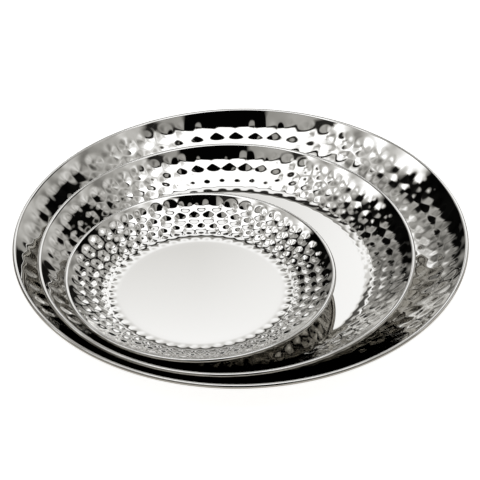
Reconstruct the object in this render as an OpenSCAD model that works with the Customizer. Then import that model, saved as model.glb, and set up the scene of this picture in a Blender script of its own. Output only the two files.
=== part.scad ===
// Nesting set of three round hammered steel platters, each smaller one resting loose in the next larger.
// Each platter is one pressed sheet: a flat mirror well, a dented wall and a closed rolled bead at the rim.
// Origin at the centre of the large platter's underside, +Z up, -Y towards the front.

/* [Large platter] */
// Diameter over the rim bead
large_d = 340; // [325:1:360]
// Width of the sloping wall, seen from above, rim bead included
large_wall_w = 36; // [32:0.5:42]
// Height of the rim above the well
large_depth = 23.5; // [20:0.5:28]
// Dents in one row
large_dents = 60; // [44:1:68]
// Depth of a dent
large_dent_depth = 0.45; // [0.3:0.05:1.2]

/* [Medium platter] */
// How far the medium platter's rim lies inside the large one's when both are centred
medium_step = 30; // [26:0.5:36]
// Width of the sloping wall, seen from above, rim bead included
medium_wall_w = 34; // [30:0.5:40]
// Height of the rim above the well
medium_depth = 21.5; // [17:0.5:24]
// Dents in one row
medium_dents = 60; // [44:1:68]
// Depth of a dent
medium_dent_depth = 0.45; // [0.3:0.05:1.1]

/* [Small platter] */
// How far the small platter's rim lies inside the medium one's when both are centred
small_step = 40; // [35:0.5:46]
// Width of the sloping wall, seen from above, rim bead included
small_wall_w = 32.5; // [29:0.5:37]
// Height of the rim above the well
small_depth = 18; // [14:0.5:20]
// Dents in one row
small_dents = 48; // [36:1:56]
// Depth of a dent
small_dent_depth = 0.8; // [0.4:0.05:1.1]

/* [Sheet and rim] */
// Thickness of the steel sheet
sheet = 1; // [0.6:0.05:1.4]
// Radius of the rolled rim bead
bead_r = 1.7; // [1.5:0.1:2.4]
// Angle by which the wall steepens from the well to the rim, in degrees
wall_turn = 11; // [4:1:18]
// Half the width of the bend between the well and the wall
bend_half_w = 5; // [2:0.25:6]

/* [Nesting] */
// Least room left between one platter and the wall of the next larger
nest_gap = 1; // [0.5:0.5:4]
// Direction in which the medium platter lies off the large one's centre, in degrees from +X
medium_shift_angle = 238; // [180:1:270]
// Share of the free play by which the medium platter lies off centre
medium_shift_share = 0.9; // [0:0.01:1]
// Direction in which the small platter lies off the medium one's centre, in degrees from +X
small_shift_angle = 227; // [180:1:270]
// Share of the free play by which the small platter lies off centre
small_shift_share = 0.97; // [0:0.01:1]

/* [Hidden] */

medium_d = large_d - 2 * medium_step;
small_d = medium_d - 2 * small_step;

// Dents stand in staggered rows. These shares are of the pitch, the distance between two dents of a row:
// the first row's distance from the rim, the step from row to row and a dent's radius
first_row_share = 0.73;
row_step_share = 0.85;
dent_r_share = 0.65;
// How fast a dent's depth fades from its middle to its edge
dent_fade = 3;
// Rings of points from one row of dents to the next, and round the bead
rings_per_row = 3;
bead_rings = 6;
// Columns of points for each dent of a row
columns_per_dent = 2;
well_fn = 180;

// The wall's inner face is an arc that steepens towards the bead and touches it.
// A wall is [foot point, mean slope, arc radius, arc length, bead centre, dents per row, dent depth],
// with each point as [radius, height]
function wall_of(d, wall_w, depth, dents, dent_depth) =
    let (foot = [d / 2 - wall_w, sheet],
         bead = [d / 2 - bead_r, sheet + depth - bead_r],
         reach = bead - foot,
         touch = atan2(reach.y, reach.x) + asin(bead_r / norm(reach)) + wall_turn / 2,
         chord = bead + bead_r * [-sin(touch), cos(touch)] - foot,
         arc_r = norm(chord) / (2 * sin(wall_turn / 2)))
    [foot, atan2(chord.y, chord.x), arc_r, arc_r * wall_turn * PI / 180, bead, dents, dent_depth];

// Slope of the inner face at a distance t along the wall from its foot
function slope_at(w, t) =
    t <= -bend_half_w ? 0
    : t < bend_half_w ? slope_at(w, bend_half_w) * (t + bend_half_w) / (2 * bend_half_w)
    : w[1] + wall_turn * (t / w[3] - 1 / 2);

// Point of the inner face at a distance t from the foot, without dents
function arc_point(w, t) =
    let (start = w[1] - wall_turn / 2, slope = w[1] + wall_turn * (t / w[3] - 1 / 2))
    w[0] + w[2] * [sin(slope) - sin(start), cos(start) - cos(slope)];
function face_point(w, t) =
    let (u = (t + bend_half_w) / (2 * bend_half_w))
    u <= 0 ? w[0] + [t, 0]
    : u >= 1 ? arc_point(w, t)
    : (1 - u) * (1 - u) * (w[0] - [bend_half_w, 0]) + 2 * u * (1 - u) * w[0]
        + u * u * arc_point(w, bend_half_w);

// Distance between two dents of a row, at a radius
function pitch_at(w, r) = 2 * PI * r / w[5];

// Places of the rows along the wall, from the rim down to the last one that reaches the wall
function rows_from(w, t) =
    let (pitch = pitch_at(w, face_point(w, t).x))
    t + dent_r_share * pitch <= 0 ? [] : concat([t], rows_from(w, t - row_step_share * pitch));
function row_places(w) = rows_from(w, w[3] - first_row_share * pitch_at(w, w[4].x));

// Depth of the dents at a distance t and an angle, odd rows being half a pitch round from even ones
function dent_depth_at(w, rows, t, angle) =
    let (r = face_point(w, t).x, pitch = pitch_at(w, r), turns = angle * w[5] / 360)
    max([for (k = [0:len(rows) - 1])
        let (off = turns - (k % 2) / 2,
             across = (off - round(off)) * pitch,
             share = (across * across + pow(t - rows[k], 2)) / pow(dent_r_share * pitch, 2))
        w[6] * pow(max(0, 1 - share), dent_fade)]);

// Depth that a dent can have and stay above the surface that the platter stands on
function room_below(w, t) = max(0, face_point(w, t).y / cos(slope_at(w, t)) - sheet);
function pressed_depth(w, rows, t, angle) =
    let (full = dent_depth_at(w, rows, t, angle), room = room_below(w, t))
    room > 0 ? full * room / (room + full) : 0;

// Places of the rings of points up the wall: one on each row of dents, and others evenly spaced between rows
function ring_places(w, rows) =
    let (marks = concat([w[3]], [for (t = rows) if (t > 3 * bend_half_w / 2) t], [bend_half_w]))
    concat([for (k = [0:len(marks) - 2], j = [0:rings_per_row - 1])
                marks[k] + (marks[k + 1] - marks[k]) * j / rings_per_row],
           bend_half_w * [1, 1 / 3, -1 / 3, -1, -2]);

// Point of the sheet's inner face (side 0) or outer face (side 1), dents pressed outwards
function sheet_point(w, rows, t, angle, side) =
    let (slope = slope_at(w, t),
         out = pressed_depth(w, rows, t, angle) + side * sheet)
    face_point(w, t) + out * [sin(slope), -cos(slope)];

// Points round the bead from where the inner face touches it to where the outer face meets it
function bead_points(w) =
    let (slope = slope_at(w, w[3]),
         first = 90 + slope,
         last = slope - 180 - asin((bead_r - sheet) / bead_r))
    [for (k = [1:bead_rings])
        let (a = first + (last - first) * k / bead_rings)
        w[4] + bead_r * [cos(a), sin(a)]];

// Section of the wall and bead at an angle, as one closed loop of [radius, height] points
function section(w, rows, rings, angle) =
    concat([for (k = [len(rings) - 1:-1:0]) sheet_point(w, rows, rings[k], angle, 0)],
           bead_points(w),
           [for (k = [1:len(rings) - 1]) sheet_point(w, rows, rings[k], angle, 1)]);

module platter(d, wall_w, depth, dents, dent_depth) {
    w = wall_of(d, wall_w, depth, dents, dent_depth);
    rows = row_places(w);
    rings = ring_places(w, rows);
    columns = dents * columns_per_dent;
    sections = [for (i = [0:columns - 1]) section(w, rows, rings, 360 * i / columns)];
    n = len(sections[0]);
    points = [for (i = [0:columns - 1], p = sections[i])
        [p.x * cos(360 * i / columns), p.x * sin(360 * i / columns), p.y]];
    faces = [for (i = [0:columns - 1], j = [0:n - 1])
        let (a = i * n + j,
             b = i * n + (j + 1) % n,
             c = ((i + 1) % columns) * n + (j + 1) % n,
             e = ((i + 1) % columns) * n + j)
        each [[a, c, b], [a, e, c]]];
    polyhedron(points, faces);
    cylinder(r = w[0].x - 3 * bend_half_w / 2, h = sheet, $fn = well_fn);
}

// Radius free inside a platter's wall at a height above its well, taken on the wall's chord
function free_r(d, wall_w, depth, height) =
    d / 2 - wall_w + (wall_w - 2 * bead_r) * min(1, height / depth);

// Free play of an inner platter in an outer one, at its foot and at its rim
function play(outer_d, outer_wall_w, outer_depth, inner_d, inner_wall_w, inner_depth) =
    min(outer_d / 2 - outer_wall_w - inner_d / 2 + inner_wall_w,
        free_r(outer_d, outer_wall_w, outer_depth, inner_depth + sheet - bead_r) - inner_d / 2) - nest_gap;
medium_shift = medium_shift_share
    * play(large_d, large_wall_w, large_depth, medium_d, medium_wall_w, medium_depth);
small_shift = small_shift_share
    * play(medium_d, medium_wall_w, medium_depth, small_d, small_wall_w, small_depth);
medium_place = [medium_shift * cos(medium_shift_angle), medium_shift * sin(medium_shift_angle), sheet];
small_place = medium_place + [small_shift * cos(small_shift_angle), small_shift * sin(small_shift_angle), sheet];

module large_platter() {
    color("silver") platter(large_d, large_wall_w, large_depth, large_dents, large_dent_depth);
}

module medium_platter() {
    color("silver") translate(medium_place)
        platter(medium_d, medium_wall_w, medium_depth, medium_dents, medium_dent_depth);
}

module small_platter() {
    color("silver") translate(small_place)
        platter(small_d, small_wall_w, small_depth, small_dents, small_dent_depth);
}

large_platter();
medium_platter();
small_platter();
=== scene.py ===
"""Looks of a nesting set of three round hammered steel platters, in a plain white studio."""

import math

import bpy
import numpy as np
from mathutils import Matrix, Vector


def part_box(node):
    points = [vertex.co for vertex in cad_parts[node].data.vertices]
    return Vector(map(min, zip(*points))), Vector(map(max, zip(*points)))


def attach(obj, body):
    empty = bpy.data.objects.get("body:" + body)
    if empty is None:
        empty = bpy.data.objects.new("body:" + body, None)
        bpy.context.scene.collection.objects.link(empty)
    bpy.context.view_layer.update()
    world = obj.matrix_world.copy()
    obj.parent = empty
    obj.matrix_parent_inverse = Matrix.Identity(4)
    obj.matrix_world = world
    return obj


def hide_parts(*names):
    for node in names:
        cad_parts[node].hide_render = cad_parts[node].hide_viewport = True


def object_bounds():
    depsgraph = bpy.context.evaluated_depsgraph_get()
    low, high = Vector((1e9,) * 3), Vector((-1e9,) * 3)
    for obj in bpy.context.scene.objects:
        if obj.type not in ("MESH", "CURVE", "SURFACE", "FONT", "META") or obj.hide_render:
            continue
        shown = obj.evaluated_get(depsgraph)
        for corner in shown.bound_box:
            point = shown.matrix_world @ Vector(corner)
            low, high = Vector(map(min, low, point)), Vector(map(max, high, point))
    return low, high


MM = 0.001
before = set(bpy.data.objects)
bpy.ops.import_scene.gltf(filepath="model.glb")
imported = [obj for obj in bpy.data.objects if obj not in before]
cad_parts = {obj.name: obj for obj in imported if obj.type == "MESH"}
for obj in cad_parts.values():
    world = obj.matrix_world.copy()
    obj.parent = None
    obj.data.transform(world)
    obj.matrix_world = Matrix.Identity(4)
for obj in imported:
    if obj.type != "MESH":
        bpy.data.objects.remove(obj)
cad_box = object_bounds()

# The sheet's thickness, the rolled rim bead's radius, and the angle by which the wall steepens up to the rim,
# all as in the frame's solids. Lengths are in millimetres until the meshes are made
SHEET = 1.0
BEAD_R = 1.7
WALL_TURN = math.radians(11)

# Dents stand in staggered rows. A dent's radius, the first row's distance from the rim and the step from
# row to row are shares of the pitch, the distance between two dents of a row
DENT_R_SHARE = 0.65
FIRST_ROW_SHARE = 0.73
ROW_STEP_SHARE = 0.85
# How fast a dent's depth fades from its middle to its edge
DENT_FADE = 3.0
# How far into the well a row's middle may lie, as a share of the pitch
LAST_ROW_SHARE = 0.45
# Depth of the dents of a row whose middle lies in the well, as a share of the others'
FOOT_DEPTH_SHARE = 0.3

# Per platter: width of the wall, widths of the bend into the well and up the wall, dents in a row,
# depth of a dent, angle of the first dent in degrees, and the seed of its uneven blows
PLATTERS = {
    "large": dict(wall_w=36.0, bend_in=7.0, bend_out=16.0, dents=60, dent_depth=0.45, phase=81.9, seed=3),
    "medium": dict(wall_w=34.0, bend_in=5.0, bend_out=4.0, dents=60, dent_depth=0.45, phase=85.7, seed=5),
    "small": dict(wall_w=32.5, bend_in=8.0, bend_out=3.0, dents=48, dent_depth=0.92, phase=82.4, seed=8),
}

# How finely the meshes are cut: columns for each dent of a row, distances between the rings of points up the
# inner and down the outer face, rings across the flat well, and rings round the bead
COLUMNS_PER_DENT = 12
RING_STEP = 0.65
OUTER_RING_STEP = 2.0
WELL_RINGS = 8
BEAD_RINGS = 16
# Of the bead's rings, those next to the outer face that are satin like the underside and, like it, darkened
# with painted shade
BEAD_SATIN_SHADE_RINGS = 12

# How unevenly the dents are struck: the most by which one is shifted, as a share of the pitch, and by which
# its depth and radius differ, as shares of their own
STRIKE_SHIFT_SHARE = 0.03
STRIKE_DEPTH_SHARE = 0.1
STRIKE_R_SHARE = 0.04
# Each row of a platter draws its blows from a seed of its own: the platter's times this, plus the row's number
SEED_STEP = 100

# How sharply two dents meet in a ridge, how sharply dents stop at the surface that the platter stands on, and
# a tiny length that keeps a division from failing where there is neither a dent nor room
RIDGE_POWER = 8.0
ROOM_POWER = 3
TINY = 1e-9


class Wall:
    """Section of a platter's inner face: flat well, bend, and an arc that steepens up to the rim bead."""

    def __init__(self, rim_r, depth, wall_w, bend_in, bend_out, dents, dent_depth, phase, seed):
        self.bend_in, self.bend_out = bend_in, bend_out
        self.dents, self.dent_depth, self.phase, self.seed = dents, dent_depth, math.radians(phase), seed
        self.foot = np.array([rim_r - wall_w, SHEET])
        self.bead = np.array([rim_r - BEAD_R, SHEET + depth - BEAD_R])
        reach = self.bead - self.foot
        touch = math.atan2(reach[1], reach[0]) + math.asin(BEAD_R / np.hypot(*reach)) + WALL_TURN / 2
        chord = self.bead + BEAD_R * np.array([-math.sin(touch), math.cos(touch)]) - self.foot
        self.mean = math.atan2(chord[1], chord[0])
        self.arc_r = np.hypot(*chord) / (2 * math.sin(WALL_TURN / 2))
        self.length = self.arc_r * WALL_TURN
        self.rows = self.row_places()
        self.strikes = [self.struck(k) for k in range(len(self.rows))]

    def slope(self, t):
        """Slope of the inner face without dents, at distances t along the wall from its foot."""
        on_arc = self.mean + WALL_TURN * (t / self.length - 0.5)
        start = self.mean + WALL_TURN * (self.bend_out / self.length - 0.5)
        u = (t + self.bend_in) / (self.bend_in + self.bend_out)
        return np.where(t >= self.bend_out, on_arc, start * np.clip(u, 0, 1) ** 2)

    def arc_point(self, t):
        """Radius and height on the arc alone, without the bend."""
        start = self.mean - WALL_TURN / 2
        slope = self.mean + WALL_TURN * (t / self.length - 0.5)
        r = self.foot[0] + self.arc_r * (np.sin(slope) - math.sin(start))
        return r, self.foot[1] + self.arc_r * (math.cos(start) - np.cos(slope))

    def face(self, t):
        """Radius and height of the inner face without dents."""
        t = np.asarray(t, float)
        u = np.clip((t + self.bend_in) / (self.bend_in + self.bend_out), 0, 1)
        end_r, end_z = self.arc_point(np.array(self.bend_out))
        bend_r = ((1 - u) ** 2 * (self.foot[0] - self.bend_in) + 2 * u * (1 - u) * self.foot[0]
                  + u * u * end_r)
        bend_z = (1 - u * u) * self.foot[1] + u * u * end_z
        arc_r, arc_z = self.arc_point(t)
        flat = t <= -self.bend_in
        r = np.where(flat, self.foot[0] + t, np.where(t < self.bend_out, bend_r, arc_r))
        z = np.where(flat, self.foot[1], np.where(t < self.bend_out, bend_z, arc_z))
        return r, z

    def pitch(self, r):
        return 2 * math.pi * r / self.dents

    def row_places(self):
        """Distances of the rows of dents from the wall's foot, from the rim down."""
        places = []
        t = self.length - FIRST_ROW_SHARE * self.pitch(self.bead[0])
        while True:
            pitch = self.pitch(float(self.face(t)[0]))
            if t + LAST_ROW_SHARE * pitch <= 0:
                return places
            places.append(t)
            t -= ROW_STEP_SHARE * pitch

    def struck(self, row):
        """Uneven blows of one row: shifts along and across it, and factors of depth and radius."""
        rng = np.random.default_rng(self.seed * SEED_STEP + row)
        along, across, deep, wide = [rng.uniform(-1, 1, self.dents) for _ in range(4)]
        return (along * STRIKE_SHIFT_SHARE, across * STRIKE_SHIFT_SHARE,
                1 + deep * STRIKE_DEPTH_SHARE, 1 + wide * STRIKE_R_SHARE)

    def dent(self, t, angle):
        """Depth of the dents at distances t, one per line of the result, and angles, one per column."""
        total = np.zeros((len(t), len(angle)))
        pitch = self.pitch(self.face(t)[0][:, None])
        for k, place in enumerate(self.rows):
            along, across, deep, wide = self.strikes[k]
            full = self.dent_depth * (FOOT_DEPTH_SHARE if place < 0 else 1)
            turns = (angle - self.phase) * self.dents / (2 * math.pi) - (k % 2) / 2
            near = np.round(turns)
            for step in (-1, 0, 1):
                i = (near + step).astype(int) % self.dents
                side = (turns - near - step - along[i])[None, :] * pitch
                up = t[:, None] - place - across[i][None, :] * pitch
                share = (side ** 2 + up ** 2) / (DENT_R_SHARE * pitch * wide[i][None, :]) ** 2
                depth = full * deep[i][None, :] * np.maximum(0, 1 - share) ** DENT_FADE
                total += depth ** RIDGE_POWER
        return total ** (1 / RIDGE_POWER)

    def pressed(self, t, angle):
        """The dents' depth, kept above the surface that the platter stands on."""
        full = self.dent(t, angle)
        room = np.maximum(0, self.face(t)[1] / np.cos(self.slope(t)) - SHEET)[:, None]
        either = (full ** ROOM_POWER + room ** ROOM_POWER) ** (1 / ROOM_POWER)
        return full * room / np.maximum(either, TINY)

    def sheet_rings(self, t, angle, side):
        """Rings of points [radius, height] of the inner face (side 0) or the outer face (side 1)."""
        slope = self.slope(t)[:, None]
        r, z = self.face(t)
        out = self.pressed(t, angle) + side * SHEET
        return r[:, None] + out * np.sin(slope), z[:, None] - out * np.cos(slope)

    def bead_rings(self, angle):
        """Rings of points round the bead, from where the inner face touches it to the outer face."""
        slope = float(self.slope(np.array(self.length)))
        first = math.pi / 2 + slope
        last = slope - math.pi - math.asin((BEAD_R - SHEET) / BEAD_R)
        a = first + (last - first) * np.arange(1, BEAD_RINGS + 1) / BEAD_RINGS
        r = np.repeat((self.bead[0] + BEAD_R * np.cos(a))[:, None], len(angle), 1)
        z = np.repeat((self.bead[1] + BEAD_R * np.sin(a))[:, None], len(angle), 1)
        return r, z


# Name of the mesh attribute that is 1 where the sheet is satin and darkened with painted shade, and 0 where it
# is polished
UNDERSIDE = "underside"


def platter_mesh(name, wall):
    """Closed sheet: rings from the well's centre up to the rim, round the bead and back underneath."""
    n = wall.dents * COLUMNS_PER_DENT
    angle = np.arange(n) * 2 * math.pi / n
    span = wall.length + wall.bend_in
    up = np.linspace(-wall.bend_in, wall.length, int(span / RING_STEP) + 1)
    down = np.linspace(wall.length, -wall.bend_in, int(span / OUTER_RING_STEP) + 1)[1:]
    flat_r = (wall.foot[0] - wall.bend_in) * np.sqrt(np.linspace(0, 1, WELL_RINGS + 1))[1:-1]
    ones = np.ones(n)
    parts = [
        (flat_r[:, None] * ones, np.full((len(flat_r), n), SHEET)),
        wall.sheet_rings(up, angle, 0),
        wall.bead_rings(angle),
        wall.sheet_rings(down, angle, 1),
        (flat_r[::-1, None] * ones, np.zeros((len(flat_r), n))),
    ]
    r = np.vstack([p[0] for p in parts])
    z = np.vstack([p[1] for p in parts])
    rings = len(r)
    grid = np.stack([r * np.cos(angle), r * np.sin(angle), z], -1).reshape(-1, 3)
    points = np.vstack([grid, [[0, 0, SHEET], [0, 0, 0]]]) * MM
    i, j = np.meshgrid(np.arange(rings - 1), np.arange(n), indexing="ij")
    a, b = i * n + j, i * n + (j + 1) % n
    quads = np.stack([a, a + n, b + n, b], -1).reshape(-1, 4)
    top, under = rings * n, rings * n + 1
    last = (rings - 1) * n
    k = np.arange(n)
    fans = np.vstack([np.stack([np.full(n, top), k, (k + 1) % n], -1),
                      np.stack([np.full(n, under), last + (k + 1) % n, last + k], -1)])
    mesh = bpy.data.meshes.new(name)
    mesh.from_pydata(points.tolist(), [], quads.tolist() + fans.tolist())
    mesh.polygons.foreach_set("use_smooth", np.ones(len(mesh.polygons), bool))
    # The underside and the bead's lower rings are satin and carry the painted shade
    under_rings = len(down) + len(flat_r) + BEAD_SATIN_SHADE_RINGS
    is_under = np.repeat(np.arange(rings) >= rings - under_rings, n).astype(float)
    underside = mesh.attributes.new(UNDERSIDE, "FLOAT", "POINT")
    underside.data.foreach_set("value", np.append(is_under, [0, 1]))
    mesh.update()
    return mesh


# Metal: colours, the satin one dark with painted shade, and the roughness of the polish at its clearest and at
# its most smeared
MIRROR_COLOUR = (0.93, 0.925, 0.91, 1)
# Painted shade: the underside's dark colour stands in for the shade under the platter and its dim reflections
SATIN_PAINTED_SHADE_COLOUR = (0.3, 0.285, 0.255, 1)
MIRROR_ROUGHNESS = (0.008, 0.035)
SATIN_ROUGHNESS = 0.1
# Noise levels between which a smear sets in, and the noise's scale per metre
SMEAR_NOISE = (0.35, 0.75)
SMEAR_SCALE = 18
# Hair scratches: their direction in degrees, how finely the noise is drawn out along and across it and in
# height, and the bump's strength and depth in metres
SCRATCH_ANGLE = 33
SCRATCH_SCALE = (60, 1600, 400)
SCRATCH_STRENGTH = 0.05
SCRATCH_DEPTH = 0.00002
# The first of the two inputs and the output of a Mix node, for numbers and for colours
MIX_SOCKETS = {"FLOAT": (2, 0), "RGBA": (6, 2)}


def node(tree, kind, place, **inputs):
    """New node at a place, with some inputs set by name."""
    made = tree.nodes.new(kind)
    made.location = place
    for key, value in inputs.items():
        made.inputs[key.replace("_", " ")].default_value = value
    return made


def feed(tree, socket, value):
    """Give an input a number or colour, or link it to another node's output."""
    if isinstance(value, bpy.types.NodeSocket):
        tree.links.new(value, socket)
    else:
        socket.default_value = value


def mix_node(tree, kind, place, share, first, second):
    """The first value or colour where share is 0, the second where it is 1."""
    made = node(tree, "ShaderNodeMix", place)
    made.data_type = kind
    low, result = MIX_SOCKETS[kind]
    feed(tree, made.inputs[0], share)
    feed(tree, made.inputs[low], first)
    feed(tree, made.inputs[low + 1], second)
    return made.outputs[result]


def range_node(tree, place, value, source, target):
    """The value moved from a source range into a target range."""
    made = node(tree, "ShaderNodeMapRange", place, From_Min=source[0], From_Max=source[1],
                To_Min=target[0], To_Max=target[1])
    tree.links.new(value, made.inputs["Value"])
    return made.outputs[0]


def math_node(tree, operation, *values, clamp=False):
    made = tree.nodes.new("ShaderNodeMath")
    made.operation = operation
    made.use_clamp = clamp
    for socket, value in zip(made.inputs, values):
        feed(tree, socket, value)
    return made.outputs[0]


def steel_material():
    """Mirror-polished inside and rim top, satin underside darkened with painted shade, with smears and fine
    wiping scratches.
    """
    material = bpy.data.materials.new("polished_steel")
    material.use_nodes = True
    tree = material.node_tree
    link = tree.links.new
    bsdf = tree.nodes["Principled BSDF"]
    bsdf.inputs["Metallic"].default_value = 1.0
    coord = node(tree, "ShaderNodeTexCoord", (-1100, 0))
    under = node(tree, "ShaderNodeAttribute", (-700, 300))
    under.attribute_name = UNDERSIDE
    # The underside gets the dark colour of painted shade
    colour = mix_node(tree, "RGBA", (-300, 300), under.outputs["Fac"], MIRROR_COLOUR, SATIN_PAINTED_SHADE_COLOUR)
    link(colour, bsdf.inputs["Base Color"])
    smear = node(tree, "ShaderNodeTexNoise", (-700, 0), Scale=SMEAR_SCALE, Detail=4, Roughness=0.6)
    link(coord.outputs["Object"], smear.inputs["Vector"])
    polish = range_node(tree, (-500, 0), smear.outputs["Fac"], SMEAR_NOISE, MIRROR_ROUGHNESS)
    rough = mix_node(tree, "FLOAT", (-300, 0), under.outputs["Fac"], polish, SATIN_ROUGHNESS)
    link(rough, bsdf.inputs["Roughness"])
    stretch = node(tree, "ShaderNodeMapping", (-900, -300), Scale=SCRATCH_SCALE,
                   Rotation=(0, 0, math.radians(SCRATCH_ANGLE)))
    link(coord.outputs["Object"], stretch.inputs["Vector"])
    scratch = node(tree, "ShaderNodeTexNoise", (-700, -300), Scale=1, Detail=3, Roughness=0.7)
    link(stretch.outputs[0], scratch.inputs["Vector"])
    bump = node(tree, "ShaderNodeBump", (-300, -300), Strength=SCRATCH_STRENGTH, Distance=SCRATCH_DEPTH)
    link(scratch.outputs["Fac"], bump.inputs["Height"])
    link(bump.outputs[0], bsdf.inputs["Normal"])
    return material


def build(body, steel):
    """Make a body's platter in its CAD solid's place and let it stand for the solid."""
    low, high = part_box(body + "_platter")
    rim_r = (high.x - low.x) / 2 / MM
    depth = (high.z - low.z) / MM - SHEET
    name = body + "_hammered_platter"
    piece = bpy.data.objects.new(name, platter_mesh(name, Wall(rim_r, depth, **PLATTERS[body])))
    bpy.context.scene.collection.objects.link(piece)
    piece.location = ((low.x + high.x) / 2, (low.y + high.y) / 2, low.z)
    piece.data.materials.append(steel)
    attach(piece, body)
    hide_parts(body + "_platter")


# Brightness of the studio outside the panels, and the tint of its dim parts
ROOM = 0.3
SHADE_TINT = (1.0, 0.965, 0.885, 1)
# Soft clouds that vary the brightness, but for a clear strip this many degrees wide on either side of the
# middle: the noise's scale, its levels, and the factors of brightness that these stand for
CLEAR_SIDE = 20
CLOUD_SCALE = 6
CLOUD_NOISE = (0.32, 0.68)
CLOUD_RANGE = (0.4, 1.55)
# The studio's cards and flags, which the metal mirrors, each laid over the ones before it: (over low, over
# high, side low, side high, brightness, soft edge over, soft edge to the side), in degrees. Over is the angle
# from the horizon behind the object over the zenith, and side the angle towards +X
PANELS = [
    (11.5, 21, -24, 20, 0.19, 2, 6),
    (-60, 11.5, -20, 90, 0.01, 2, 6),
    (-60, 6, -90, -20, 0.01, 6, 6),
    (64, 84, -24, 24, 1.0, 4, 14),
    (14, 62, 7, 26, 1.0, 4, 4),
    (14, 62, -29, -12, 0.95, 4, 6),
    (2, 58, -46, -27, 0.25, 6, 3),
    (33, 43, -18, 11, 1.0, 3, 4),
    (28, 38.5, -16, 1, 0.68, 3, 4),
    (52, 63, -24, 18, 0.02, 3, 8),
    (44, 66, 28, 33, 0.02, 5, 2),
    (24, 33, -16, 11, 0.08, 3, 4),
    (13, 19, -12, 7, 0.6, 3, 4),
    (-8, 60, 40, 90, 0.42, 8, 8),
    (60, 96, -70, -43, 0.9, 4, 3),
    (46, 70, -90, -52, 0.75, 6, 4),
    (74, 96, -45, -26, 0.45, 8, 6),
    (50, 68, -45, -34, 0.01, 6, 3),
    (28, 57, -52, -41, 0.002, 4, 2),
    (-20, 32, -80, -38, 0.002, 6, 2),
    (-20, 19, -80, -34, 0.002, 5, 2),
    (-20, 11, -80, -30, 0.002, 4, 2),
    (40, 70, 35, 47, 0.003, 5, 3),
    (50, 96, 47, 62, 0.62, 6, 3),
    (30, 96, 55, 85, 1.2, 6, 5),
    (86, 106, -66, -24, 0.6, 4, 6),
    (86, 106, 24, 62, 0.5, 4, 6),
    (82, 86, -30, 30, 0.01, 1, 6),
    (86, 106, -28, 28, 1.3, 1.5, 6),
    (104, 130, -36, -14, 0.36, 6, 6),
    (86, 114, -34, -30, 1.2, 6, 3),
    (84, 112, -45, -41, 1.2, 6, 3),
    (86, 112, 36, 39, 0.9, 6, 3),
    (104.5, 108, -32, -9, 0.02, 1.5, 3),
    (104.5, 108, 17, 30, 0.02, 1.5, 3),
    (106, 176, -9, 17.5, 0.001, 1.2, 1.5),
]


def band(tree, value, low, high, soft):
    """1 between low and high and 0 outside, with soft edges."""
    up = math_node(tree, "MULTIPLY_ADD", value, 1 / soft, 0.5 - low / soft, clamp=True)
    down = math_node(tree, "MULTIPLY_ADD", value, -1 / soft, 0.5 + high / soft, clamp=True)
    return math_node(tree, "MULTIPLY", up, down)


def studio_world():
    world = bpy.data.worlds.new("studio")
    bpy.context.scene.world = world
    world.use_nodes = True
    tree = world.node_tree
    tree.nodes.clear()
    out = tree.nodes.new("ShaderNodeOutputWorld")
    coord = tree.nodes.new("ShaderNodeTexCoord")
    split = tree.nodes.new("ShaderNodeSeparateXYZ")
    tree.links.new(coord.outputs["Generated"], split.inputs[0])
    over = math_node(tree, "DEGREES", math_node(tree, "ARCTAN2", split.outputs["Z"], split.outputs["Y"]))
    side = math_node(tree, "DEGREES", math_node(tree, "ARCSINE", split.outputs["X"]))
    level = ROOM
    for low, high, left, right, bright, soft_over, soft_side in PANELS:
        mask = math_node(tree, "MULTIPLY", band(tree, over, low, high, soft_over),
                         band(tree, side, left, right, soft_side))
        level = mix_node(tree, "FLOAT", (0, 0), mask, level, bright)
    cloud = node(tree, "ShaderNodeTexNoise", (-600, -300), Scale=CLOUD_SCALE, Detail=1.5)
    tree.links.new(coord.outputs["Generated"], cloud.inputs["Vector"])
    shade = range_node(tree, (-400, -300), cloud.outputs["Fac"], CLOUD_NOISE, CLOUD_RANGE)
    clear = band(tree, side, -CLEAR_SIDE, CLEAR_SIDE, CLEAR_SIDE / 2)
    shade = mix_node(tree, "FLOAT", (-200, -300), clear, shade, 1)
    level = math_node(tree, "MULTIPLY", level, shade)
    colour = mix_node(tree, "RGBA", (0, 0), level, SHADE_TINT, (1, 1, 1, 1))
    back = node(tree, "ShaderNodeBackground", (200, 0))
    tree.links.new(colour, back.inputs["Color"])
    tree.links.new(level, back.inputs["Strength"])
    tree.links.new(back.outputs[0], out.inputs["Surface"])


# Half the floor's width and its distance below the object, in metres, its colour and roughness, and how much
# it is whitened where the camera or the metal sees it
FLOOR_HALF = 12.0
FLOOR_GAP = 0.0002
FLOOR_COLOUR = (0.9, 0.9, 0.9, 1)
FLOOR_ROUGHNESS = 0.9
FLOOR_GLOW = 0.82


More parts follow.
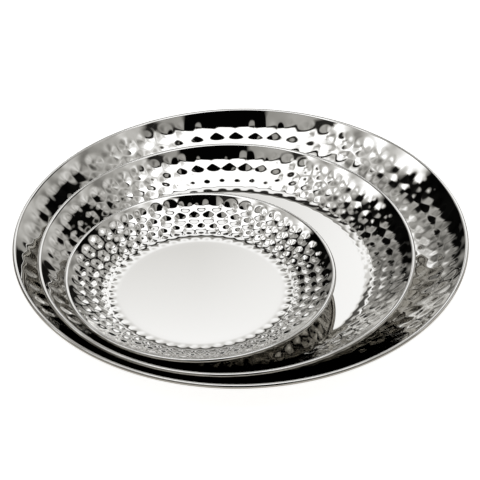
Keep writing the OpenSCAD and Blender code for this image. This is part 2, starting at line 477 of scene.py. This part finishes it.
def floor():
    """White floor, which also looks white to the camera and in the metal, and keeps its shadow."""
    mesh = bpy.data.meshes.new("floor")
    corners = [(x * FLOOR_HALF, y * FLOOR_HALF, 0) for x, y in ((-1, -1), (1, -1), (1, 1), (-1, 1))]
    mesh.from_pydata(corners, [], [(0, 1, 2, 3)])
    plane = bpy.data.objects.new("floor", mesh)
    bpy.context.scene.collection.objects.link(plane)
    plane.location.z = cad_box[0][2] - FLOOR_GAP
    material = bpy.data.materials.new("white_floor")
    material.use_nodes = True
    tree = material.node_tree
    bsdf = tree.nodes["Principled BSDF"]
    bsdf.inputs["Base Color"].default_value = FLOOR_COLOUR
    bsdf.inputs["Roughness"].default_value = FLOOR_ROUGHNESS
    bsdf.inputs["Emission Color"].default_value = (1, 1, 1, 1)
    path = node(tree, "ShaderNodeLightPath", (-600, 0))
    seen = math_node(tree, "MAXIMUM", path.outputs["Is Camera Ray"], path.outputs["Is Glossy Ray"])
    seen = math_node(tree, "MAXIMUM", seen, path.outputs["Is Transmission Ray"])
    glow = math_node(tree, "MULTIPLY", seen, FLOOR_GLOW)
    tree.links.new(glow, bsdf.inputs["Emission Strength"])
    plane.data.materials.append(material)


# Camera of the photograph, found from its three rims: its height above the horizon and its roll in degrees,
# its distance in metres, its focal length in pixels, and the point of the picture, 480 pixels wide and high,
# at which the frame's origin lies
PICTURE = 480
CAMERA_UP = 38.02
CAMERA_ROLL = -1.01
CAMERA_PULL = 1.8038
FOCAL_PIXELS = 2400
ORIGIN_X, ORIGIN_Y = 240.87, 262.43
# Width of the camera's sensor in millimetres, and how far it sees in metres
SENSOR_MM = 36
CLIP_END = 50


def camera():
    data = bpy.data.cameras.new("camera")
    made = bpy.data.objects.new("camera", data)
    bpy.context.scene.collection.objects.link(made)
    up = math.radians(CAMERA_UP)
    forward = Vector((0, math.cos(up), -math.sin(up)))
    right = Vector((1, 0, 0))
    above = right.cross(forward)
    roll = math.radians(CAMERA_ROLL)
    x = right * math.cos(roll) + above * math.sin(roll)
    y = above * math.cos(roll) - right * math.sin(roll)
    rotation = Matrix((x, y, -forward)).transposed()
    made.matrix_world = Matrix.Translation(-forward * CAMERA_PULL) @ rotation.to_4x4()
    data.sensor_width = SENSOR_MM
    data.lens = FOCAL_PIXELS / PICTURE * SENSOR_MM
    data.shift_x = (PICTURE / 2 - ORIGIN_X) / PICTURE
    data.shift_y = (ORIGIN_Y - PICTURE / 2) / PICTURE
    data.clip_end = CLIP_END
    bpy.context.scene.camera = made


steel = steel_material()
for body in PLATTERS:
    build(body, steel)
studio_world()
floor()
camera()
bpy.context.scene.view_settings.view_transform = "Standard"
